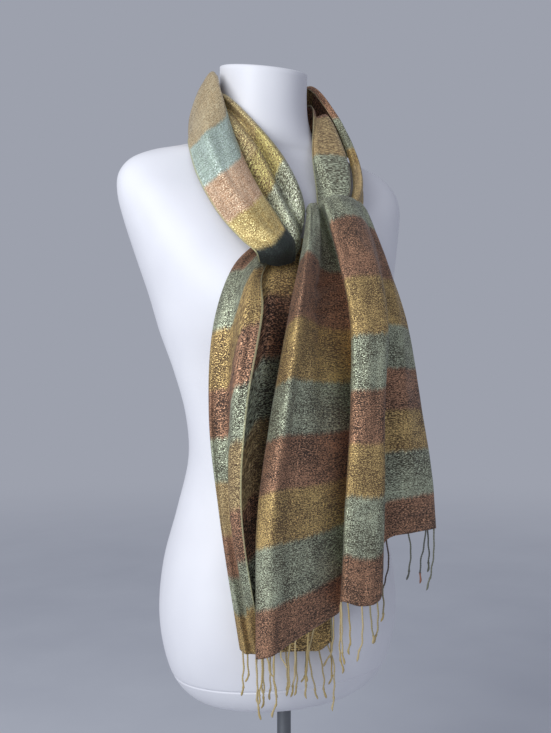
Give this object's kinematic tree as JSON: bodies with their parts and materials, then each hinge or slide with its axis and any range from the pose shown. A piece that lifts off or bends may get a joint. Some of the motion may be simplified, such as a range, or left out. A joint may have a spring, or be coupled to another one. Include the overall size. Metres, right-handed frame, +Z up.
{
  "type": "scarf on dress form",
  "caption": "Woven striped scarf with a twisted fringe, wound round the neck and tied in a half knot, resting on a limbless dress form on a pole and round foot.",
  "frame": {"origin": "on the floor, at the centre of the foot's underside and on the pole's axis", "axes": "+Z up; the form's front faces -Y; +X towards the wearer's left"},
  "size_m": [0.41, 0.3188, 1.1543],
  "materials": {
    "cloth_gold": "soft woven cloth with a metallic thread",
    "cloth_sage": "soft woven cloth with a metallic thread",
    "cloth_brown": "soft woven cloth with a metallic thread",
    "fringe_yarn": "twisted yarn",
    "form_shell": "smooth satin white",
    "stand_metal": "satin grey metal"
  },
  "bodies": {
    "root": {"foot": "stand_metal", "pole": "stand_metal", "socket": "stand_metal", "flange": "stand_metal", "dress_form": "form_shell", "neck_right_collar": "cloth_gold", "neck_right_rolls": "cloth_sage", "neck_left_collar": "cloth_sage", "neck_left_rolls": "cloth_brown", "tail_front": "cloth_brown", "tail_back": "cloth_gold", "fringe_front": "fringe_yarn", "fringe_back": "fringe_yarn"}
  },
  "joints": []
}
